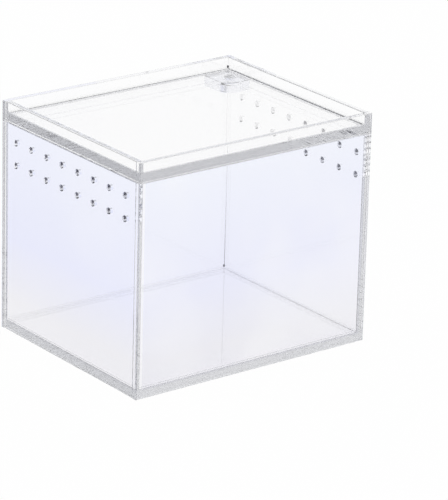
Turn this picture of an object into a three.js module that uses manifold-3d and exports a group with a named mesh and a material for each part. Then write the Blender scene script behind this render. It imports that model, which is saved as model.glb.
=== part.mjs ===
// Reptile feeding box: five clear sheets glued into an open box, two walls with air holes,
// and a tray-topped lift-off lid that one pair of disc magnets holds at the back right corner.
// Millimetres, +Z up. The origin is the middle of the underside, +X runs along the wide
// front wall and +Y to the back.

import * as THREE from "three";
import { mergeVertices } from "three/addons/utils/BufferGeometryUtils.js";
import Module from "manifold-3d";

// Box
const BOX_WIDTH = 180;
const BOX_DEPTH = 148;
const WALL_HEIGHT = 140;
const WALL_THICKNESS = 4;
const FLOOR_THICKNESS = 5.5;

// Lid
const RIM_HEIGHT = 13.3;
const RIM_THICKNESS = 4;
const LID_PLATE_THICKNESS = 5.5;

// Seams and edges
const GLUE_FILM = 0.1;
const LID_SEAT_GAP = 0.1;
const EDGE_CHAMFER = 0.3;

// Air holes in both side walls. A row's length is a share of the wall's, and the right wall's
// pattern was drilled a little lower and further forward than the left one's.
const HOLE_DIAMETER = 4.5;
const HOLE_ROW_SHARE = 0.841;
const HOLE_ROW_SPACING = 15;
const HOLES_BELOW_WALL_TOP = 11.2;
const HOLES_IN_A_ROW = 8;
const HOLE_ROWS = 2;
const RIGHT_HOLES_FORWARD = 3.8;
const RIGHT_HOLES_LOWER = 3;

// Magnet catch
const CORNER_BLOCK_ALONG_BACK = 19.4;
const CORNER_BLOCK_ALONG_SIDE = 23.4;
const CORNER_BLOCK_ROUNDING = 10;
const CORNER_BLOCK_THICKNESS = 7;
const MAGNET_DIAMETER = 8;
const MAGNET_THICKNESS = 2;
const MAGNET_CHAMFER = 0.25;
const MAGNET_FROM_SIDE_WALL = 8;
const MAGNET_FROM_BACK_WALL = 12.5;
const POCKET_CLEARANCE = 0.1;

// Smoothness of round forms
const HOLE_POINTS = 32;
const ARC_POINTS = 24;
const MAGNET_POINTS = 48;

// One overrun for every cut
const CUT_OVERRUN = 1;

const wasm = await Module();
wasm.setup();

// Materials
function clearSheet(color) {
  return new THREE.MeshStandardMaterial({
    color,
    roughness: 0.04,
    metalness: 0,
    transparent: true,
    opacity: 0.35,
  });
}

function nickelPlate() {
  return new THREE.MeshStandardMaterial({ color: 0xb9bcc4, roughness: 0.22, metalness: 1 });
}

const WALL_TINT = 0xebeefc;
const FLOOR_TINT = 0xe4e7f2;
const LID_TINT = 0xf6f8fc;

// A closed geometry as a solid that can be cut
function solidFrom(geometry) {
  const bare = geometry.clone();
  bare.deleteAttribute("normal");
  bare.deleteAttribute("uv");
  const merged = mergeVertices(bare);
  return new wasm.Manifold(
    new wasm.Mesh({
      numProp: 3,
      vertProperties: new Float32Array(merged.attributes.position.array),
      triVerts: new Uint32Array(merged.index.array),
    }),
  );
}

// A solid back as a geometry
function geometryFrom(solid) {
  const mesh = solid.getMesh();
  const geometry = new THREE.BufferGeometry();
  geometry.setAttribute("position", new THREE.BufferAttribute(mesh.vertProperties, 3));
  geometry.setIndex(new THREE.BufferAttribute(mesh.triVerts, 1));
  geometry.computeVertexNormals();
  return geometry;
}

// An outline made into a sheet whose lower face is at z = 0, with every edge broken by a chamfer
function chamferedSheet(outline, thickness, chamfer) {
  const geometry = new THREE.ExtrudeGeometry(outline, {
    depth: thickness - 2 * chamfer,
    bevelEnabled: true,
    bevelSegments: 1,
    bevelThickness: chamfer,
    bevelSize: chamfer,
    bevelOffset: -chamfer,
    curveSegments: ARC_POINTS,
  });
  geometry.translate(0, 0, chamfer);
  return geometry;
}

// A rectangle in the XY plane, centred in x and y
function centredRectangle(width, height) {
  const outline = new THREE.Shape();
  outline.moveTo(-width / 2, -height / 2);
  outline.lineTo(width / 2, -height / 2);
  outline.lineTo(width / 2, height / 2);
  outline.lineTo(-width / 2, height / 2);
  outline.closePath();
  return outline;
}

function rectangularSheet(width, height, thickness) {
  return chamferedSheet(centredRectangle(width, height), thickness, EDGE_CHAMFER);
}

// A lathe about z instead of y
function turnedAboutZ(profile, points) {
  const geometry = new THREE.LatheGeometry(profile, points);
  geometry.rotateX(Math.PI / 2);
  return geometry;
}

// A round cut along z, centred on the origin
function roundCut(radius, depth, points) {
  const cutter = new THREE.CylinderGeometry(radius, radius, depth, points);
  cutter.rotateX(Math.PI / 2);
  return solidFrom(cutter);
}

// A side wall in the XY plane, x to the back and y up, drilled with the air holes. The pattern
// is centred on the wall but for the two lengths given.
function sideWall(forward, lower) {
  const radius = HOLE_DIAMETER / 2;
  const depth = WALL_THICKNESS + 2 * CUT_OVERRUN;
  const drill = roundCut(radius, depth, HOLE_POINTS);
  const length = BOX_DEPTH - 2 * (WALL_THICKNESS + GLUE_FILM);
  const pitch = (HOLE_ROW_SHARE * length) / (HOLES_IN_A_ROW - 1);
  const firstRow = WALL_HEIGHT / 2 - HOLES_BELOW_WALL_TOP - lower;
  let wall = solidFrom(rectangularSheet(length, WALL_HEIGHT, WALL_THICKNESS));
  for (let row = 0; row < HOLE_ROWS; row += 1) {
    const up = firstRow - row * HOLE_ROW_SPACING;
    for (let column = 0; column < HOLES_IN_A_ROW; column += 1) {
      const along = (column - (HOLES_IN_A_ROW - 1) / 2) * pitch - forward;
      wall = wall.subtract(drill.translate([along, up, WALL_THICKNESS / 2]));
    }
  }
  return geometryFrom(wall);
}

// A disc magnet standing on z = 0, with broken edges
function magnetDisc() {
  const radius = MAGNET_DIAMETER / 2;
  return turnedAboutZ(
    [
      new THREE.Vector2(0, 0),
      new THREE.Vector2(radius - MAGNET_CHAMFER, 0),
      new THREE.Vector2(radius, MAGNET_CHAMFER),
      new THREE.Vector2(radius, MAGNET_THICKNESS - MAGNET_CHAMFER),
      new THREE.Vector2(radius - MAGNET_CHAMFER, MAGNET_THICKNESS),
      new THREE.Vector2(0, MAGNET_THICKNESS),
    ],
    MAGNET_POINTS,
  );
}

// The cut for a magnet's pocket, centred on z = 0
function magnetPocket() {
  const radius = MAGNET_DIAMETER / 2 + POCKET_CLEARANCE;
  const depth = 2 * (MAGNET_THICKNESS + 2 * POCKET_CLEARANCE);
  return roundCut(radius, depth, MAGNET_POINTS);
}

// The corner block's outline. It starts at the box's inner back right corner, and only the
// corner that looks into the box is rounded.
function cornerBlockOutline() {
  const roundingX = CORNER_BLOCK_ROUNDING - CORNER_BLOCK_ALONG_BACK;
  const roundingY = CORNER_BLOCK_ROUNDING - CORNER_BLOCK_ALONG_SIDE;
  const outline = new THREE.Shape();
  outline.moveTo(0, 0);
  outline.lineTo(-CORNER_BLOCK_ALONG_BACK, 0);
  outline.absarc(roundingX, roundingY, CORNER_BLOCK_ROUNDING, Math.PI, 1.5 * Math.PI, false);
  outline.lineTo(0, -CORNER_BLOCK_ALONG_SIDE);
  outline.closePath();
  return outline;
}

// The block under the lid's corner, with its magnet pocket open at the top
function cornerBlock() {
  const block = solidFrom(
    chamferedSheet(cornerBlockOutline(), CORNER_BLOCK_THICKNESS, EDGE_CHAMFER),
  );
  const pocket = magnetPocket().translate([
    -MAGNET_FROM_SIDE_WALL,
    -MAGNET_FROM_BACK_WALL,
    CORNER_BLOCK_THICKNESS,
  ]);
  return geometryFrom(block.subtract(pocket));
}

// Places that more than one piece shares
const INNER_CORNER_X = BOX_WIDTH / 2 - WALL_THICKNESS - GLUE_FILM;
const INNER_CORNER_Y = BOX_DEPTH / 2 - WALL_THICKNESS - GLUE_FILM;
const MAGNET_X = INNER_CORNER_X - MAGNET_FROM_SIDE_WALL;
const MAGNET_Y = INNER_CORNER_Y - MAGNET_FROM_BACK_WALL;

// The lid's plate, its lower face at z = 0, with a magnet pocket open below
function lidPlate() {
  const between = 2 * (RIM_THICKNESS + GLUE_FILM);
  const plate = solidFrom(
    rectangularSheet(BOX_WIDTH - between, BOX_DEPTH - between, LID_PLATE_THICKNESS),
  );
  return geometryFrom(plate.subtract(magnetPocket().translate([MAGNET_X, MAGNET_Y, 0])));
}

function named(name, geometry, material) {
  const mesh = new THREE.Mesh(geometry, material);
  mesh.name = name;
  return mesh;
}

// Stands a sheet up so that its x runs along +X, its y up and its thickness to -Y
function faceFront(mesh) {
  mesh.rotation.set(Math.PI / 2, 0, 0);
  return mesh;
}

// Stands a sheet up so that its x runs along +Y, its y up and its thickness to +X
function faceSide(mesh) {
  mesh.rotation.set(Math.PI / 2, Math.PI / 2, 0);
  return mesh;
}

// The glued box
function makeBox() {
  const box = new THREE.Group();
  const between = 2 * (WALL_THICKNESS + GLUE_FILM);

  const floor = named(
    "floor_panel",
    rectangularSheet(BOX_WIDTH - between, BOX_DEPTH - between, FLOOR_THICKNESS),
    clearSheet(FLOOR_TINT),
  );
  box.add(floor);

  const wallMiddle = WALL_HEIGHT / 2;
  const wideWall = rectangularSheet(BOX_WIDTH, WALL_HEIGHT, WALL_THICKNESS);
  const front = faceFront(named("front_panel", wideWall, clearSheet(WALL_TINT)));
  front.position.set(0, -BOX_DEPTH / 2 + WALL_THICKNESS, wallMiddle);
  const back = faceFront(named("back_panel", wideWall.clone(), clearSheet(WALL_TINT)));
  back.position.set(0, BOX_DEPTH / 2, wallMiddle);
  box.add(front, back);

  const leftWall = sideWall(0, 0);
  const left = faceSide(named("left_panel", leftWall, clearSheet(WALL_TINT)));
  left.position.set(-BOX_WIDTH / 2, 0, wallMiddle);
  const rightWall = sideWall(RIGHT_HOLES_FORWARD, RIGHT_HOLES_LOWER);
  const right = faceSide(named("right_panel", rightWall, clearSheet(WALL_TINT)));
  right.position.set(BOX_WIDTH / 2 - WALL_THICKNESS, 0, wallMiddle);
  box.add(left, right);

  const blockBase = WALL_HEIGHT - CORNER_BLOCK_THICKNESS;
  const block = named("corner_block", cornerBlock(), clearSheet(WALL_TINT));
  block.position.set(INNER_CORNER_X, INNER_CORNER_Y, blockBase);
  const magnet = named("box_magnet", magnetDisc(), nickelPlate());
  magnet.position.set(MAGNET_X, MAGNET_Y, WALL_HEIGHT - MAGNET_THICKNESS - POCKET_CLEARANCE);
  box.add(block, magnet);

  return box;
}

// The lid, built with its underside at z = 0 of its own group
function makeLid() {
  const lid = new THREE.Group();
  lid.add(named("lid_plate", lidPlate(), clearSheet(LID_TINT)));

  const rimMiddle = RIM_HEIGHT / 2;
  const wideStrip = rectangularSheet(BOX_WIDTH, RIM_HEIGHT, RIM_THICKNESS);
  const front = faceFront(named("lid_rim_front", wideStrip, clearSheet(LID_TINT)));
  front.position.set(0, -BOX_DEPTH / 2 + RIM_THICKNESS, rimMiddle);
  const back = faceFront(named("lid_rim_back", wideStrip.clone(), clearSheet(LID_TINT)));
  back.position.set(0, BOX_DEPTH / 2, rimMiddle);
  lid.add(front, back);

  const between = 2 * (RIM_THICKNESS + GLUE_FILM);
  const sideStrip = rectangularSheet(BOX_DEPTH - between, RIM_HEIGHT, RIM_THICKNESS);
  const left = faceSide(named("lid_rim_left", sideStrip, clearSheet(LID_TINT)));
  left.position.set(-BOX_WIDTH / 2, 0, rimMiddle);
  const right = faceSide(named("lid_rim_right", sideStrip.clone(), clearSheet(LID_TINT)));
  right.position.set(BOX_WIDTH / 2 - RIM_THICKNESS, 0, rimMiddle);
  lid.add(left, right);

  const magnet = named("lid_magnet", magnetDisc(), nickelPlate());
  magnet.position.set(MAGNET_X, MAGNET_Y, POCKET_CLEARANCE);
  lid.add(magnet);

  lid.position.z = WALL_HEIGHT + LID_SEAT_GAP;
  return lid;
}

const feedingBox = new THREE.Group();
feedingBox.add(makeBox(), makeLid());

export default feedingBox;
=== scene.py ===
"""Dresses the clear acrylic reptile feeding box: glued sheets, tray-topped lid, magnet catch and studio."""

import logging
import math
from dataclasses import dataclass, field
from enum import Enum
from typing import Callable, Iterable, Optional, Union

import bmesh
import bpy
from mathutils import Matrix, Vector

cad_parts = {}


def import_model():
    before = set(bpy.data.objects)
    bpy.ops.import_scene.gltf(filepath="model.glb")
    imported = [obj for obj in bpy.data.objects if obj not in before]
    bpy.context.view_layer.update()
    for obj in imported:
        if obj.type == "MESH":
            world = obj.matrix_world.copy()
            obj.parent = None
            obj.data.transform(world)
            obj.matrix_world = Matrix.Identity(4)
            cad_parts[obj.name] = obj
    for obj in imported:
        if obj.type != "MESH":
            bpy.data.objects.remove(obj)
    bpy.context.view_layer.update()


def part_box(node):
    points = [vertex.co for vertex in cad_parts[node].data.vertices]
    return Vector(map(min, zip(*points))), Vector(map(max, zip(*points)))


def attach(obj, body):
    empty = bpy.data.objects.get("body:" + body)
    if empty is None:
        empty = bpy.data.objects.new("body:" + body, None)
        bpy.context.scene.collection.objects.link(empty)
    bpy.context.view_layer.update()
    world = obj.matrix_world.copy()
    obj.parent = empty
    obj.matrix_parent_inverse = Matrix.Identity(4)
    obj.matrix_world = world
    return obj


LOG = logging.getLogger("feeding_box")
MM = 0.001

Colour = tuple[float, float, float]
Direction = tuple[float, float, float]
Socket = bpy.types.NodeSocket
Value = Union[float, Socket]
Box = tuple[Vector, Vector]


class Along(Enum):
    """A coordinate of the object, the absolute ones for places that repeat on both sides."""

    X = "X"
    Y = "Y"
    Z = "Z"
    ABS_X = "abs X"
    ABS_Y = "abs Y"


@dataclass(frozen=True)
class Span:
    """A stretch of one coordinate, in metres."""

    along: Along
    low: float = -math.inf
    high: float = math.inf


Patch = tuple[Span, ...]


@dataclass(frozen=True)
class Grain:
    """A noise pattern in object coordinates.

    Attributes:
        scale: Cycles per metre.
        stretch: How much the pattern is packed along each axis.
        detail: Levels of finer noise.
    """

    scale: float
    stretch: Direction = (1.0, 1.0, 1.0)
    detail: float = 2.0


class Sketch:
    """Short ways to add nodes to one material."""

    def __init__(self, name: str) -> None:
        """Starts an empty material.

        Args:
            name: The material's name.
        """
        self.material = bpy.data.materials.new(name)
        self.material.use_nodes = True
        self.tree = self.material.node_tree
        self.shader = self.tree.nodes["Principled BSDF"]
        self.output = self.tree.nodes["Material Output"]
        self._coordinates: dict[Along, Socket] = {}
        self._place: Optional[Socket] = None

    def add(self, kind: str, **settings: object) -> bpy.types.Node:
        """Adds a node.

        Args:
            kind: The node's Blender type.
            **settings: Properties to set on it.

        Returns:
            The new node.
        """
        node = self.tree.nodes.new(kind)
        for key, value in settings.items():
            setattr(node, key, value)
        return node

    def feed(self, socket: Socket, value: Value) -> None:
        """Links a socket, or sets its value.

        Args:
            socket: The input to fill.
            value: An output socket or a plain value.
        """
        if isinstance(value, bpy.types.NodeSocket):
            self.tree.links.new(value, socket)
        else:
            socket.default_value = value

    def maths(
        self,
        operation: str,
        first: Value,
        second: Value = 0.0,
        third: Optional[Value] = None,
    ) -> Socket:
        """Adds a Math node.

        Args:
            operation: The operation's Blender name.
            first: First input.
            second: Second input.
            third: Third input, where the operation has one.

        Returns:
            The node's output.
        """
        node = self.add("ShaderNodeMath", operation=operation)
        self.feed(node.inputs[0], first)
        self.feed(node.inputs[1], second)
        if third is not None:
            self.feed(node.inputs[2], third)
        return node.outputs[0]

    def place(self) -> Socket:
        """Returns the object coordinates."""
        if self._place is None:
            self._place = self.add("ShaderNodeTexCoord").outputs["Object"]
        return self._place

    def coordinate(self, along: Along) -> Socket:
        """Finds one coordinate of the surface point.

        Args:
            along: Which coordinate.

        Returns:
            Its socket.
        """
        if not self._coordinates:
            split = self.add("ShaderNodeSeparateXYZ")
            self.feed(split.inputs[0], self.place())
            self._coordinates = {
                Along.X: split.outputs["X"],
                Along.Y: split.outputs["Y"],
                Along.Z: split.outputs["Z"],
                Along.ABS_X: self.maths("ABSOLUTE", split.outputs["X"]),
                Along.ABS_Y: self.maths("ABSOLUTE", split.outputs["Y"]),
            }
        return self._coordinates[along]

    def inside(self, span: Span) -> Socket:
        """Gives 1 inside a span and 0 elsewhere.

        Args:
            span: The stretch of one coordinate.

        Returns:
            The mask.
        """
        value = self.coordinate(span.along)
        if math.isinf(span.low):
            return self.maths("LESS_THAN", value, span.high)
        if math.isinf(span.high):
            return self.maths("GREATER_THAN", value, span.low)
        middle = (span.low + span.high) / 2
        return self.maths("COMPARE", value, middle, (span.high - span.low) / 2)

    def on_patches(self, patches: Iterable[Patch]) -> Socket:
        """Gives 1 where the surface lies in any of the patches.

        Args:
            patches: Each a tuple of spans that all hold in it.

        Returns:
            The mask.
        """
        masks = []
        for patch in patches:
            mask = self.inside(patch[0])
            for span in patch[1:]:
                mask = self.maths("MULTIPLY", mask, self.inside(span))
            masks.append(mask)
        total = masks[0]
        for mask in masks[1:]:
            total = self.maths("MAXIMUM", total, mask)
        return total

    def facing(self, direction: Direction, least: float, soft: float = 0.1) -> Socket:
        """Gives 1 where a face, seen from outside the sheet, looks in about that direction.

        Args:
            direction: The direction, of length 1.
            least: The smallest cosine between it and the face's normal.
            soft: How far the cosine lies past that on either side where the mask fades.

        Returns:
            The mask.
        """
        surface = self.add("ShaderNodeNewGeometry")
        towards = self.add("ShaderNodeVectorMath", operation="DOT_PRODUCT")
        self.feed(towards.inputs[0], surface.outputs["Normal"])
        self.feed(towards.inputs[1], direction)
        looks = self.ranged(towards.outputs["Value"], least - soft, least + soft, 0.0, 1.0)
        return self.maths("MULTIPLY", looks, self.maths("SUBTRACT", 1.0, surface.outputs["Backfacing"]))

    def noise(self, grain: Grain) -> Socket:
        """Adds a noise pattern.

        Args:
            grain: The pattern's size.

        Returns:
            The pattern, about 0 to 1.
        """
        mapping = self.add("ShaderNodeMapping")
        mapping.inputs["Scale"].default_value = grain.stretch
        self.feed(mapping.inputs["Vector"], self.place())
        noise = self.add("ShaderNodeTexNoise")
        noise.inputs["Scale"].default_value = grain.scale
        noise.inputs["Detail"].default_value = grain.detail
        self.feed(noise.inputs["Vector"], mapping.outputs["Vector"])
        return noise.outputs[0]

    def ranged(self, value: Value, low: float, high: float, to_low: float, to_high: float) -> Socket:
        """Maps a value smoothly from one range to another, clamped.

        Args:
            value: The value.
            low: Where the change starts.
            high: Where the change ends.
            to_low: Result at the start.
            to_high: Result at the end.

        Returns:
            The mapped value.
        """
        node = self.add("ShaderNodeMapRange", interpolation_type="SMOOTHSTEP")
        self.feed(node.inputs["Value"], value)
        self.feed(node.inputs["From Min"], low)
        self.feed(node.inputs["From Max"], high)
        self.feed(node.inputs["To Min"], to_low)
        self.feed(node.inputs["To Max"], to_high)
        return node.outputs["Result"]

    def ramp(self, value: Value, stops: Iterable[tuple[float, Colour]]) -> Socket:
        """Adds a colour ramp.

        Args:
            value: The value from 0 to 1.
            stops: Each a place on the ramp and its colour.

        Returns:
            The colour.
        """
        node = self.add("ShaderNodeValToRGB")
        stops = list(stops)
        while len(node.color_ramp.elements) < len(stops):
            node.color_ramp.elements.new(0.5)
        for element, (place, colour) in zip(node.color_ramp.elements, stops):
            element.position = place
            element.color = (*colour, 1.0)
        self.feed(node.inputs["Fac"], value)
        return node.outputs["Color"]

    def blend(self, share: Value, first: Union[Colour, Socket], second: Colour) -> Socket:
        """Mixes two colours.

        Args:
            share: How much of the second one, from 0 to 1.
            first: The first colour or its socket.
            second: The second colour.

        Returns:
            The mixed colour.
        """
        node = self.add("ShaderNodeMix", data_type="RGBA")
        self.feed(node.inputs["Factor"], share)
        self.feed(node.inputs["A"], first if isinstance(first, bpy.types.NodeSocket) else (*first, 1.0))
        node.inputs["B"].default_value = (*second, 1.0)
        return node.outputs["Result"]

    def bump(self, height: Socket, distance: float) -> Socket:
        """Adds a bump.

        Args:
            height: The pattern.
            distance: Its depth in metres.

        Returns:
            The bumped normal.
        """
        node = self.add("ShaderNodeBump")
        node.inputs["Distance"].default_value = distance
        self.feed(node.inputs["Height"], height)
        return node.outputs["Normal"]


# On the left and front sheets this tint is a painted reflection of lavender surroundings, greyer towards
# the foot.
@dataclass(frozen=True)
class Tints:
    """A clear sheet's faint tint from the box's foot to its top.

    Attributes:
        low: The tint up to low_share of the height.
        middle: The tint at middle_share of the height.
        high: The tint at the top.
        height: How high the box's walls are.
        low_share: See low.
        middle_share: See middle.
        fade: How much of the tint is gone where the sheet is clearest.
    """

    low: Colour
    middle: Colour
    high: Colour
    height: float = 140 * MM
    low_share: float = 0.15
    middle_share: float = 0.45
    fade: float = 0.35

    def stops(self) -> tuple[tuple[float, Colour], ...]:
        """Returns the tints as a ramp over the height."""
        return (
            (0.0, self.low),
            (self.low_share, self.low),
            (self.middle_share, self.middle),
            (1.0, self.high),
        )


# Dark patches: real marks such as the dried cement on the glue bead, and painted shade where only faces
# looking one way are darkened.
@dataclass(frozen=True)
class DarkPatch:
    """A patch that is darker than the clear sheet.

    Attributes:
        patch: Where it is.
        cover: How dark it is, from 0 to 1.
        facing: The way that its faces look, where only those are darkened, as painted shade.
        least: The smallest cosine between that and a darkened face's normal.
    """

    patch: Patch
    cover: float
    facing: Optional[Direction] = None
    least: float = 0.55


@dataclass(frozen=True)
class ClearAcrylic:
    """Cast acrylic sheet: polished faces, sawn and polished edges, and joints that light passes through.

    Attributes:
        name: The material's name.
        tints: The faces' tint, which on the left and front sheets is a painted reflection.
        edges: Where the cut edges are.
        joints: Where it is glued to its neighbours, so that it has no surface there.
        untinted: Where the faces carry no tint.
        dark_patches: Its dark patches, some of them painted shade.
        scraped: Where the edges are scraped matt.
        scrape_cover: How matt they are there.
        edge_roughness: How rough the cut edges are.
        scratch_roughness: How rough the hairline scratches are.
        wave_depth: How deep the faces' waves are.
        refraction: The acrylic's index of refraction.
        body_colour: The light that its body lets through.
        body_density: How much light its body takes over a length.
        shade_colour: The light that it lets through to what it shades.
        dark_patch_colour: The colour of the dark patches.
        drift: How far the tint's height wanders, as a share of the walls' height.
        saw_spread: How much the roughness changes along the saw marks.
    """

    name: str
    tints: Tints
    edges: tuple[Patch, ...] = ()
    joints: tuple[Patch, ...] = ()
    untinted: tuple[Patch, ...] = ()
    dark_patches: tuple[DarkPatch, ...] = ()
    scraped: tuple[Patch, ...] = ()
    scrape_cover: float = 0.6
    edge_roughness: float = 0.05
    scratch_roughness: float = 0.03
    wave_depth: float = 0.012 * MM
    refraction: float = 1.49
    body_colour: Colour = (0.70, 0.705, 0.73)
    body_density: float = 7.6
    shade_colour: Colour = (0.95, 0.95, 0.97)
    dark_patch_colour: Colour = (0.02, 0.02, 0.03)
    drift: float = 0.08
    drift_grain: Grain = Grain(14.0)
    cloud_grain: Grain = Grain(11.0, detail=3.0)
    cloud_range: tuple[float, float] = (0.38, 0.66)
    wave_grain: Grain = Grain(22.0)
    saw_grain: Grain = Grain(2600.0, (1.0, 1.0, 0.12), 1.0)
    saw_range: tuple[float, float] = (0.3, 0.7)
    saw_spread: float = 0.2
    scratch_range: tuple[float, float] = (0.72, 0.84)
    scratch_grains: tuple[Grain, Grain] = (
        Grain(900.0, (1.0, 0.06, 0.35), 1.0),
        Grain(700.0, (0.08, 1.0, 0.9), 1.0),
    )

    def make(self) -> bpy.types.Material:
        """Builds the material.

        Returns:
            The finished material.
        """
        sketch = Sketch(self.name)
        shader = sketch.shader
        shader.inputs["IOR"].default_value = self.refraction
        shader.inputs["Transmission Weight"].default_value = 1.0
        if self.scraped:
            matt = sketch.maths("MULTIPLY", sketch.on_patches(self.scraped), self.scrape_cover)
            sketch.feed(shader.inputs["Transmission Weight"], sketch.maths("SUBTRACT", 1.0, matt))
        sketch.feed(shader.inputs["Base Color"], self._tint(sketch))
        self._finish(sketch)
        self._open(sketch)
        body = sketch.add("ShaderNodeVolumeAbsorption")
        body.inputs["Color"].default_value = (*self.body_colour, 1.0)
        body.inputs["Density"].default_value = self.body_density
        sketch.feed(sketch.output.inputs["Volume"], body.outputs[0])
        return sketch.material

    def _tint(self, sketch: Sketch) -> Socket:
        """Tints the sheet by its height, unevenly and with clearer clouds, as a painted reflection on the
        left and front sheets, and darkens its dark patches, some of them painted shade.

        Args:
            sketch: The material's nodes.

        Returns:
            The colour.
        """
        drift = sketch.maths("MULTIPLY_ADD", sketch.noise(self.drift_grain), self.drift, -self.drift / 2)
        share = sketch.maths("DIVIDE", sketch.coordinate(Along.Z), self.tints.height)
        colour = sketch.ramp(sketch.maths("ADD", share, drift), self.tints.stops())
        fade = sketch.ranged(sketch.noise(self.cloud_grain), *self.cloud_range, 0.0, self.tints.fade)
        if self.untinted:
            fade = sketch.maths("MAXIMUM", fade, sketch.on_patches(self.untinted))
        colour = sketch.blend(fade, colour, (1.0, 1.0, 1.0))
        # Each dark patch darkens the colour; those limited by facing are painted shade.
        for dark_patch in self.dark_patches:
            cover = sketch.maths("MULTIPLY", sketch.on_patches((dark_patch.patch,)), dark_patch.cover)
            if dark_patch.facing is not None:
                cover = sketch.maths("MULTIPLY", cover, sketch.facing(dark_patch.facing, dark_patch.least))
            colour = sketch.blend(cover, colour, self.dark_patch_colour)
        return colour

    def _finish(self, sketch: Sketch) -> None:
        """Adds hairline scratches and the sheet's slight waviness, and saw marks on the cut edges.

        Args:
            sketch: The material's nodes.
        """
        shader = sketch.shader
        hairs, crossing = (sketch.noise(grain) for grain in self.scratch_grains)
        scratches = sketch.maths("MAXIMUM", hairs, crossing)
        polish = sketch.ranged(scratches, *self.scratch_range, 0.0, self.scratch_roughness)
        wave = sketch.bump(sketch.noise(self.wave_grain), self.wave_depth)
        if self.edges:
            cut = sketch.on_patches(self.edges)
            saw = sketch.noise(self.saw_grain)
            low = (1 - self.saw_spread) * self.edge_roughness
            high = (1 + self.saw_spread) * self.edge_roughness
            rough = sketch.ranged(saw, *self.saw_range, low, high)
            polish = sketch.maths("MAXIMUM", polish, sketch.maths("MULTIPLY", cut, rough))
        sketch.feed(shader.inputs["Roughness"], polish)
        sketch.feed(shader.inputs["Normal"], wave)

    def _open(self, sketch: Sketch) -> None:
        """Lets lamps' light through, and lets every ray straight through the glued joints.

        Args:
            sketch: The material's nodes.
        """
        path = sketch.add("ShaderNodeLightPath")
        lamp_rays = sketch.maths("MAXIMUM", path.outputs["Is Shadow Ray"], path.outputs["Is Diffuse Ray"])
        shade = sketch.add("ShaderNodeBsdfTransparent")
        shade.inputs["Color"].default_value = (*self.shade_colour, 1.0)
        lit = sketch.add("ShaderNodeMixShader")
        sketch.feed(lit.inputs[0], lamp_rays)
        sketch.feed(lit.inputs[1], sketch.shader.outputs[0])
        sketch.feed(lit.inputs[2], shade.outputs[0])
        result = lit.outputs[0]
        if self.joints:
            clear = sketch.add("ShaderNodeBsdfTransparent")
            joined = sketch.add("ShaderNodeMixShader")
            sketch.feed(joined.inputs[0], sketch.on_patches(self.joints))
            sketch.feed(joined.inputs[1], result)
            sketch.feed(joined.inputs[2], clear.outputs[0])
            result = joined.outputs[0]
        sketch.feed(sketch.output.inputs["Surface"], result)


@dataclass(frozen=True)
class NickelPlate:
    """Bright nickel on the disc magnets, with fine scuffs."""

    name: str = "nickel_plate"
    colour: Colour = (0.66, 0.67, 0.70)
    worn_colour: Colour = (0.30, 0.30, 0.33)
    smooth: float = 0.18
    scuffed: float = 0.42
    scuff_depth: float = 0.004 * MM
    scuff_grain: Grain = Grain(1500.0, (1.0, 0.15, 1.0), 3.0)
    spot_grain: Grain = Grain(450.0)

    def make(self) -> bpy.types.Material:
        """Builds the material.

        Returns:
            The finished material.
        """
        sketch = Sketch(self.name)
        shader = sketch.shader
        scuffs = sketch.noise(self.scuff_grain)
        spots = sketch.noise(self.spot_grain)
        colour = sketch.ramp(spots, ((0.35, self.worn_colour), (0.6, self.colour)))
        sketch.feed(shader.inputs["Base Color"], colour)
        roughness = sketch.ranged(scuffs, 0.4, 0.75, self.smooth, self.scuffed)
        sketch.feed(shader.inputs["Roughness"], roughness)
        sketch.feed(shader.inputs["Normal"], sketch.bump(scuffs, self.scuff_depth))
        shader.inputs["Metallic"].default_value = 1.0
        return sketch.material


def wear(piece: bpy.types.Object, material: bpy.types.Material) -> None:
    """Puts a material on a piece, in place of any that it has.

    Args:
        piece: The piece.
        material: The material.
    """
    piece.data.materials.clear()
    piece.data.materials.append(material)
    LOG.info("%s has %s", piece.name, material.name)


def choose_edges(
    piece: bpy.types.Object,
    test: Callable[[Vector, Vector], bool],
    keep: bool = False,
) -> None:
    """Selects edges of the piece in edit mode.

    Args:
        piece: The piece in edit mode.
        test: Says of an edge's two ends whether it is chosen.
        keep: Whether what is selected already stays selected.
    """
    mesh = bmesh.from_edit_mesh(piece.data)
    if not keep:
        for vertex in mesh.verts:
            vertex.select = False
        for edge in mesh.edges:
            edge.select = False
        for face in mesh.faces:
            face.select = False
    for edge in mesh.edges:
        if test(edge.verts[0].co, edge.verts[1].co):
            edge.select = True
    bmesh.update_edit_mesh(piece.data)


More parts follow.
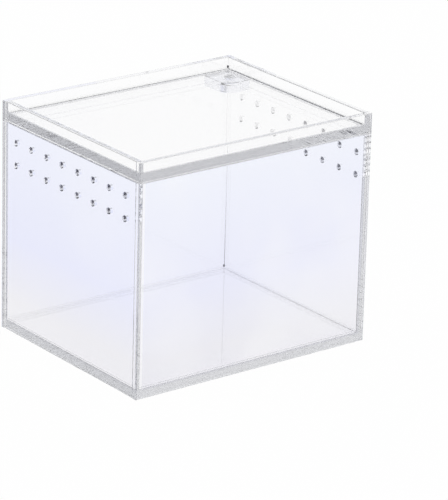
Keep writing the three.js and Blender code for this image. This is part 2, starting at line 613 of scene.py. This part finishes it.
@dataclass
class GlueBead:
    """The small bead of solvent cement round a plate, where it meets the upright sheets.

    The bead's faces against the sheets lie a hair off them and are open to light, so that only its
    hollow slope shows.

    Attributes:
        name: The bead's name.
        inner_x: Where the side sheets' inner faces are.
        inner_y: Where the front and back sheets' inner faces are.
        base: How high the plate's top is.
        leg: How wide and high the bead is.
        drops: The corners that hold a dried drop, each by its sides in X and Y.
        drop_radius: How large the drops are.
        drop_stretch: How much higher than wide a drop is.
        drop_reach: How far from the corner a drop's patch reaches, in radii.
        drop_cover: How dark the drops are.
        hair: How far the bead lies off the sheets.
        hollow: How far the slope is drawn in, as a share of the leg.
        crust: How high the dark line along the bead's top is.
    """

    name: str
    inner_x: float
    inner_y: float
    base: float
    leg: float
    drops: tuple[tuple[int, int], ...] = ((1, 1),)
    drop_radius: float = 0.7 * MM
    drop_stretch: float = 1.5
    drop_reach: float = 2.2
    drop_cover: float = 0.97
    hair: float = 0.02 * MM
    hollow: float = 0.16
    crust: float = 0.25 * MM

    def make(self) -> bpy.types.Object:
        """Models the bead: a flat frame, turned up at its rim and bridged back to its inner edge.

        Returns:
            The finished bead.
        """
        half_x = self.inner_x - self.hair
        half_y = self.inner_y - self.hair
        foot = self.base + self.hair
        bpy.ops.object.select_all(action="DESELECT")
        bpy.ops.mesh.primitive_plane_add(size=2, location=(0, 0, foot))
        ring = bpy.context.object
        ring.name = self.name
        ring.data.name = self.name
        ring.scale = (half_x, half_y, 1)
        bpy.ops.object.transform_apply(location=True, rotation=True, scale=True)
        bpy.ops.object.mode_set(mode="EDIT")
        bpy.ops.mesh.select_all(action="SELECT")
        bpy.ops.mesh.inset(thickness=self.leg)
        bpy.ops.mesh.delete(type="ONLY_FACE")
        close = self.leg / 10

        def at_rim(point: Vector) -> bool:
            """Says whether a point is on the ring's outer edge."""
            return abs(point.x) > half_x - close or abs(point.y) > half_y - close

        choose_edges(ring, lambda a, b: at_rim(a) and at_rim(b))
        bpy.ops.mesh.extrude_edges_move(TRANSFORM_OT_translate={"value": (0, 0, self.leg)})
        choose_edges(ring, lambda a, b: not at_rim(a) and not at_rim(b), keep=True)
        bpy.ops.mesh.bridge_edge_loops(number_cuts=2)
        bpy.ops.mesh.select_all(action="SELECT")
        bpy.ops.mesh.normals_make_consistent(inside=False)
        self._hollow_out(ring, lambda p: foot + close < p.z < foot + self.leg - close)
        bpy.ops.object.mode_set(mode="OBJECT")
        for side_x, side_y in self.drops:
            self._drop(ring, side_x, side_y)
        return ring

    def _drop(self, ring: bpy.types.Object, side_x: int, side_y: int) -> None:
        """Adds the drop of cement that has run together in a corner.

        Args:
            ring: The bead.
            side_x: Which side in X, 1 or -1.
            side_y: Which side in Y, 1 or -1.
        """
        radius = self.drop_radius
        clear = radius + 3 * self.hair
        place = (
            side_x * (self.inner_x - clear),
            side_y * (self.inner_y - clear),
            self.base + self.leg + radius,
        )
        bpy.ops.object.select_all(action="DESELECT")
        bpy.ops.mesh.primitive_ico_sphere_add(subdivisions=3, radius=radius, location=place)
        drop = bpy.context.object
        drop.scale = (1, 1, self.drop_stretch)
        bpy.ops.object.transform_apply(location=True, rotation=True, scale=True)
        bpy.ops.object.shade_smooth()
        ring.select_set(True)
        bpy.context.view_layer.objects.active = ring
        bpy.ops.object.join()

    def _hollow_out(self, piece: bpy.types.Object, test: Callable[[Vector], bool]) -> None:
        """Draws the chosen points back towards the seam, so that the slope is hollow.

        Args:
            piece: The piece in edit mode.
            test: Says of a point whether it is chosen.
        """
        mesh = bmesh.from_edit_mesh(piece.data)
        for vertex in mesh.verts:
            vertex.select = test(vertex.co)
        mesh.select_flush(False)
        bmesh.update_edit_mesh(piece.data)
        bpy.ops.transform.shrink_fatten(value=-self.hollow * self.leg)

    def contact(self) -> tuple[Patch, ...]:
        """Returns the patches of the bead that lie against the sheets."""
        near = 2 * self.hair
        return (
            (Span(Along.ABS_X, low=self.inner_x - near),),
            (Span(Along.ABS_Y, low=self.inner_y - near),),
            (Span(Along.Z, high=self.base + near),),
        )

    def slope(self) -> tuple[Patch, ...]:
        """Returns the patch that the bead's slope lies in, where the cement isn't polished."""
        return ((Span(Along.Z, self.base + 2 * self.hair, self.base + self.leg + self.hair),),)

    def dark_patches(self, line_cover: float) -> tuple[DarkPatch, ...]:
        """Finds where the cement has dried dark.

        Args:
            line_cover: How dark the line along the bead's top is.

        Returns:
            The line and the corner drops.
        """
        wide = self.drop_reach * self.drop_radius
        top = self.base + self.leg
        line = DarkPatch((Span(Along.Z, top - self.crust, top + 2 * self.hair),), line_cover)
        corners = (
            Span(Along.ABS_X, low=self.inner_x - wide),
            Span(Along.ABS_Y, low=self.inner_y - wide),
            Span(Along.Z, low=top + 2 * self.hair),
        )
        return (line, DarkPatch(corners, self.drop_cover))


@dataclass
class SheetStack:
    """What a glued tray of sheets is: a plate between four upright sheets, and the bead in its seams.

    Attributes:
        plate: The plate's node.
        front: The front sheet's node.
        back: The back sheet's node.
        left: The left sheet's node.
        right: The right sheet's node.
        body: The body that it is all part of.
        bead_name: The glue bead's name.
        bead_slot: A slot name that nothing reads; not used.
        tints: The sheets with a tint of their own, a painted reflection of lavender surroundings.
        clear: The others' tint.
        leg: How wide and high the bead is.
        line_cover: How dark the line along the bead's top is.
        wetted: Whether the sheets have no surface under the bead.
        hold: How near to a sheet's face its patches begin.
        edge: How far a cut edge reaches.
        arris: How high the scraped arris is.
        bead_roughness: How rough the bead's slope is.
        density: How much light the upright sheets take over a length.
        plate_density: How much light the plate takes over a length.
        bore_shade_cover: How dark the painted shade on the air holes' upper side is.
        bore_shade_cover_faint: The same in the rear half of the right sheet.
        bore_start: Where the painted shade begins, from the sheet's left face.
        bore_end: Where it ends.
        bore_shaded_side: The way that the shaded side looks.
    """

    plate: str
    front: str
    back: str
    left: str
    right: str
    body: str
    bead_name: str
    bead_slot: str
    tints: dict[str, Tints]
    clear: Tints
    leg: float
    line_cover: float
    wetted: bool = False
    hold: float = 0.05 * MM
    edge: float = 0.35 * MM
    arris: float = 0.29 * MM
    bead_roughness: float = 0.35
    density: float = 7.6
    plate_density: float = 8.2
    bore_shade_cover: float = 1.0
    bore_shade_cover_faint: float = 0.3
    bore_start: float = 0.9 * MM
    bore_end: float = 3.9 * MM
    bore_shaded_side: Direction = (0.0, -0.9, -0.436)
    foot: float = field(init=False)
    top: float = field(init=False)
    outer_x: float = field(init=False)
    inner_x: float = field(init=False)
    inner_y: float = field(init=False)
    plate_x: float = field(init=False)
    plate_y: float = field(init=False)
    plate_top: float = field(init=False)

    def __post_init__(self) -> None:
        """Reads the sheets' places from the frame."""
        self.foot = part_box(self.front)[0].z
        self.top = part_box(self.front)[1].z
        self.outer_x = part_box(self.front)[1].x
        self.inner_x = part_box(self.right)[0].x
        self.inner_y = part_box(self.back)[0].y
        self.plate_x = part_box(self.plate)[1].x
        self.plate_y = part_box(self.plate)[1].y
        self.plate_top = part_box(self.plate)[1].z

    def bead(self) -> bpy.types.Object:
        """Models the glue bead and dresses it.

        Returns:
            The bead.
        """
        shape = GlueBead(self.bead_name, self.inner_x, self.inner_y, self.plate_top, self.leg)
        bead = shape.make()
        finish = ClearAcrylic(
            f"clear_{bead.name}",
            self.clear,
            edges=shape.slope(),
            joints=shape.contact(),
            dark_patches=shape.dark_patches(self.line_cover),
            edge_roughness=self.bead_roughness,
        )
        wear(bead, finish.make())
        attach(bead, self.body)
        return bead

    def dress(self, block: Optional[Box] = None) -> None:
        """Gives each sheet its finish.

        Args:
            block: The corner block's box, where one is glued in.
        """
        self._dress_plate()
        for name in (self.front, self.back):
            self._dress_wide(name, block if name == self.back else None)
        for name in (self.left, self.right):
            self._dress_side(name, block if name == self.right else None)

    def _seam(self) -> Span:
        """Returns how high the plate and the cement reach up the upright sheets."""
        return Span(Along.Z, high=self.plate_top + (self.leg if self.wetted else 0.0))

    def _top_edge(self) -> Patch:
        """Returns the patch of an upright sheet's top edge."""
        return (Span(Along.Z, low=self.top - self.edge),)

    def _dress_plate(self) -> None:
        """Dresses the plate, which is glued all round."""
        joints = (
            (Span(Along.ABS_X, low=self.plate_x - self.hold),),
            (Span(Along.ABS_Y, low=self.plate_y - self.hold),),
        )
        if self.wetted:
            upper = Span(Along.Z, low=self.plate_top - self.edge)
            joints = (
                *joints,
                (upper, Span(Along.ABS_X, low=self.inner_x - self.leg)),
                (upper, Span(Along.ABS_Y, low=self.inner_y - self.leg)),
            )
        self._dress(self.plate, self.plate_density, (), joints)

    def _dress_wide(self, name: str, block: Optional[Box]) -> None:
        """Dresses the front or the back sheet, which cover the side sheets' ends.

        Args:
            name: The sheet's node.
            block: The corner block's box, where it is glued to this sheet.
        """
        inner = Span(Along.ABS_Y, self.inner_y - self.hold, self.inner_y + self.hold)
        joints = [
            (inner, self._seam()),
            (inner, Span(Along.ABS_X, low=self.plate_x)),
        ]
        if block is not None:
            joints.append((inner, Span(Along.X, low=block[0].x), Span(Along.Z, low=block[0].z)))
        edges = (
            (Span(Along.ABS_X, low=self.outer_x - self.edge),),
            self._top_edge(),
        )
        end_on = (Span(Along.ABS_X, self.plate_x, self.outer_x - self.edge),)
        self._dress(name, self.density, edges, tuple(joints), end_on=(end_on,))

    def _dress_side(self, name: str, block: Optional[Box]) -> None:
        """Dresses the left or the right sheet, with its drilled holes if it has them.

        Args:
            name: The sheet's node.
            block: The corner block's box, where it is glued to this sheet.
        """
        inner = Span(Along.ABS_X, self.inner_x - self.hold, self.inner_x + self.hold)
        joints = [
            (inner, self._seam()),
            (Span(Along.ABS_Y, low=self.plate_y - self.hold),),
        ]
        if block is not None:
            joints.append((inner, Span(Along.Y, low=block[0].y), Span(Along.Z, low=block[0].z)))
        reach = self.plate_y - self.hold
        # The bores' dark upper side is painted shade, fainter in the rear half of the right sheet.
        rear_shade_cover = self.bore_shade_cover if name == self.left else self.bore_shade_cover_faint
        dark_patches = (
            self._bore_painted_shade(name, Span(Along.Y, -reach, 0.0), self.bore_shade_cover),
            self._bore_painted_shade(name, Span(Along.Y, 0.0, reach), rear_shade_cover),
        )
        self._dress(name, self.density, (self._top_edge(),), tuple(joints), dark_patches=dark_patches)

    def _bore_painted_shade(self, name: str, half: Span, cover: float) -> DarkPatch:
        """Finds the painted shade on the upper side of a sheet's bores.

        Args:
            name: The sheet's node.
            half: The half of the sheet that the bores are in.
            cover: How dark it is.

        Returns:
            The painted shade.
        """
        left_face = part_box(name)[0].x
        bores = (
            Span(Along.X, left_face + self.bore_start, left_face + self.bore_end),
            half,
            Span(Along.Z, self.foot + self.edge, self.top - self.edge),
        )
        return DarkPatch(bores, cover, facing=self.bore_shaded_side)

    def _dress(
        self,
        name: str,
        density: float,
        edges: tuple[Patch, ...],
        joints: tuple[Patch, ...],
        end_on: tuple[Patch, ...] = (),
        dark_patches: tuple[DarkPatch, ...] = (),
    ) -> None:
        """Gives a sheet its own clear finish.

        Args:
            name: The sheet's node.
            density: How much light the sheet takes over a length.
            edges: Where its cut edges are.
            joints: Where it is glued to its neighbours.
            end_on: Where a neighbour is seen end-on through it, so that the faces carry no tint.
            dark_patches: Its dark patches.
        """
        arris = (Span(Along.Z, self.top - self.arris, self.top - self.arris / 20),)
        finish = ClearAcrylic(
            f"clear_{name}",
            self.tints.get(name, self.clear),
            edges,
            joints,
            untinted=((Span(Along.Z, high=self.plate_top),), *end_on),
            dark_patches=dark_patches,
            scraped=(arris,) if edges else (),
            body_density=density,
        )
        wear(bpy.data.objects[name], finish.make())


@dataclass
class MagnetCatch:
    """The clear corner block and the pair of disc magnets.

    Attributes:
        block: The block's node.
        box_magnet: The node of the magnet in the block.
        lid_magnet: The node of the magnet in the lid.
        tint: The block's tint.
        roughness: How rough its sawn sides are.
        hold: How near to the block's face its patches begin.
        arris: How high its dark top edge is.
        arris_cover: How dark that edge is.
        pocket_shade_cover: How dark the painted shade in the magnet's pocket is.
        pocket_shaded_side: The way that the shaded faces look, out of the block.
    """

    block: str = "corner_block"
    box_magnet: str = "box_magnet"
    lid_magnet: str = "lid_magnet"
    tint: Colour = (0.90, 0.91, 0.97)
    roughness: float = 0.07
    hold: float = 0.05 * MM
    arris: float = 0.25 * MM
    arris_cover: float = 0.8
    pocket_shade_cover: float = 0.9
    pocket_shaded_side: Direction = (0.61, 0.79, 0.0)

    def dress(self) -> None:
        """Gives the block its sawn, clear finish and the magnets their nickel."""
        low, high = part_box(self.block)
        joints = (
            (Span(Along.X, low=high.x - self.hold),),
            (Span(Along.Y, low=high.y - self.hold),),
        )
        sides = (Span(Along.Z, low.z + self.arris, high.z - self.arris),)
        finish = ClearAcrylic(
            f"clear_{self.block}",
            Tints(self.tint, self.tint, self.tint),
            (sides,),
            joints,
            dark_patches=self._dark_patches(high.z),
            edge_roughness=self.roughness,
        )
        wear(bpy.data.objects[self.block], finish.make())
        nickel = NickelPlate().make()
        for name in (self.box_magnet, self.lid_magnet):
            wear(bpy.data.objects[name], nickel)

    def _dark_patches(self, top: float) -> tuple[DarkPatch, ...]:
        """Finds the block's dark top edge and the painted shade in its magnet's pocket.

        Args:
            top: How high the block's top is.

        Returns:
            The dark patches.
        """
        low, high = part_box(self.box_magnet)
        rim = (Span(Along.Z, top - self.arris, top - self.hold / 2),)
        pocket = (
            Span(Along.X, low.x - self.arris, high.x + self.arris),
            Span(Along.Y, low.y - self.arris, high.y + self.arris),
            Span(Along.Z, low.z - self.arris, top - self.hold),
        )
        # The pocket's darkening, only on faces looking to the back right, is painted shade.
        return (
            DarkPatch(rim, self.arris_cover),
            DarkPatch(pocket, self.pocket_shade_cover, facing=self.pocket_shaded_side),
        )


@dataclass(frozen=True)
class PhotoCamera:
    """The camera, fitted to the photographed corners. Its angles are in degrees.

    Attributes:
        box_width: How wide the box is.
        azimuth: How far it is turned about the box, from straight in front.
        elevation: How far it looks down.
        roll: How far it is tilted.
        place: Where it is, in box widths.
        focal_pixels: Its focal length, in pixels of the photo.
        frame_height: How high the photo is, in pixels.
        sensor: How high its sensor is, in millimetres.
    """

    box_width: float
    azimuth: float = -37.845
    elevation: float = 20.263
    roll: float = 1.585
    place: tuple[float, float, float] = (-6.8025, -8.9875, 4.4826)
    focal_pixels: float = 3388.1
    frame_height: float = 500.0
    sensor: float = 36.0

    def make(self) -> bpy.types.Object:
        """Adds the camera to the scene.

        Returns:
            The camera object.
        """
        azimuth, elevation, roll = (math.radians(a) for a in (self.azimuth, self.elevation, self.roll))
        back = Vector(
            (
                math.sin(azimuth) * math.cos(elevation),
                -math.cos(azimuth) * math.cos(elevation),
                math.sin(elevation),
            )
        )
        level = (-back).cross(Vector((0, 0, 1))).normalized()
        upright = level.cross(-back)
        right = math.cos(roll) * level + math.sin(roll) * upright
        up = math.cos(roll) * upright - math.sin(roll) * level
        data = bpy.data.cameras.new("photo_camera")
        data.sensor_fit = "VERTICAL"
        data.sensor_height = self.sensor
        data.lens = self.sensor * self.focal_pixels / self.frame_height
        camera = bpy.data.objects.new("photo_camera", data)
        bpy.context.scene.collection.objects.link(camera)
        turn = Matrix((right, up, back)).transposed()
        camera.matrix_world = Matrix.LocRotScale(Vector(self.place) * self.box_width, turn, None)
        bpy.context.scene.camera = camera
        return camera


@dataclass(frozen=True)
class Studio:
    """A white floor and soft light all round, dark straight above.

    Attributes:
        floor_size: How wide the floor is.
        floor_height: How high it lies, just under the box.
        floor_glow: How bright it looks.
        floor_colour: Its colour where it takes light.
        horizon: The sky's colour all round.
        zenith: The sky's colour straight above.
        fade: Where the sky turns dark, as the sine of the height.
        bounces: How often a ray may bounce in the sheets.
    """

    floor_size: float = 12.0
    floor_height: float = -0.0002
    floor_glow: float = 0.985
    floor_colour: Colour = (0.95, 0.95, 0.95)
    horizon: Colour = (1.0, 1.0, 1.0)
    zenith: Colour = (0.0, 0.0, 0.0)
    fade: tuple[float, float] = (0.74, 0.92)
    bounces: int = 48

    def make(self) -> None:
        """Sets up the view, the light and the floor."""
        scene = bpy.context.scene
        scene.view_settings.view_transform = "Standard"
        scene.cycles.max_bounces = self.bounces
        scene.cycles.transmission_bounces = self.bounces
        scene.cycles.glossy_bounces = self.bounces
        scene.cycles.transparent_max_bounces = self.bounces
        self._floor()
        self._sky()

    def _floor(self) -> None:
        """Lays the floor, which is white to the eye and still takes the object's shadow."""
        bpy.ops.object.select_all(action="DESELECT")
        bpy.ops.mesh.primitive_plane_add(size=self.floor_size, location=(0, 0, self.floor_height))
        floor = bpy.context.object
        floor.name = "studio_floor"
        sketch = Sketch("studio_floor")
        sketch.shader.inputs["Base Color"].default_value = (*self.floor_colour, 1.0)
        sketch.shader.inputs["Roughness"].default_value = 1.0
        sketch.shader.inputs["Specular IOR Level"].default_value = 0.0
        path = sketch.add("ShaderNodeLightPath")
        seen = sketch.maths("MAXIMUM", path.outputs["Is Camera Ray"], path.outputs["Is Glossy Ray"])
        seen = sketch.maths("MAXIMUM", seen, path.outputs["Is Transmission Ray"])
        glow = sketch.add("ShaderNodeEmission")
        mix = sketch.add("ShaderNodeMixShader")
        sketch.feed(mix.inputs[0], sketch.maths("MULTIPLY", seen, self.floor_glow))
        sketch.feed(mix.inputs[1], sketch.shader.outputs[0])
        sketch.feed(mix.inputs[2], glow.outputs[0])
        sketch.feed(sketch.output.inputs["Surface"], mix.outputs[0])
        floor.data.materials.append(sketch.material)

    def _sky(self) -> None:
        """Lights the scene evenly, with a darker patch straight above."""
        world = bpy.data.worlds.new("studio")
        bpy.context.scene.world = world
        world.use_nodes = True
        tree = world.node_tree
        place = tree.nodes.new("ShaderNodeTexCoord")
        split = tree.nodes.new("ShaderNodeSeparateXYZ")
        tree.links.new(place.outputs["Generated"], split.inputs[0])
        height = tree.nodes.new("ShaderNodeMapRange")
        height.interpolation_type = "SMOOTHSTEP"
        height.inputs["From Min"].default_value = self.fade[0]
        height.inputs["From Max"].default_value = self.fade[1]
        tree.links.new(split.outputs["Z"], height.inputs["Value"])
        sky = tree.nodes.new("ShaderNodeMix")
        sky.data_type = "RGBA"
        sky.inputs["A"].default_value = (*self.horizon, 1.0)
        sky.inputs["B"].default_value = (*self.zenith, 1.0)
        tree.links.new(height.outputs["Result"], sky.inputs["Factor"])
        tree.links.new(sky.outputs["Result"], tree.nodes["Background"].inputs["Color"])


def main() -> None:
    """Builds and dresses everything in order."""
    logging.basicConfig(level=logging.INFO, format="%(message)s")
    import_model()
    PhotoCamera(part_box("front_panel")[1].x * 2).make()
    Studio().make()

    clear = Tints((0.998, 0.998, 0.999), (0.996, 0.996, 1.0), (0.998, 0.998, 1.0))
    # The left and front sheets' lavender tints are a painted reflection of lavender surroundings, greyer
    # near the foot.
    left_painted_reflection = Tints((0.875, 0.870, 0.905), (0.825, 0.84, 0.99), (0.885, 0.905, 1.0), fade=0.12)
    front_painted_reflection = Tints((0.85, 0.845, 0.895), (0.84, 0.85, 0.98), (0.905, 0.925, 1.0))
    box = SheetStack(
        plate="floor_panel",
        front="front_panel",
        back="back_panel",
        left="left_panel",
        right="right_panel",
        body="box",
        bead_name="box_glue_bead",
        bead_slot="clear_floor",
        tints={"left_panel": left_painted_reflection, "front_panel": front_painted_reflection},
        clear=clear,
        leg=1.6 * MM,
        line_cover=0.15,
    )
    lid = SheetStack(
        plate="lid_plate",
        front="lid_rim_front",
        back="lid_rim_back",
        left="lid_rim_left",
        right="lid_rim_right",
        body="lid",
        bead_name="lid_glue_bead",
        bead_slot="clear_lid",
        tints={},
        clear=clear,
        leg=0.9 * MM,
        line_cover=0.3,
        wetted=True,
        bead_roughness=0.12,
        plate_density=11.8,
    )
    box.dress(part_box("corner_block"))
    box.bead()
    lid.dress()
    lid.bead()
    MagnetCatch().dress()


if __name__ == "__main__":
    main()
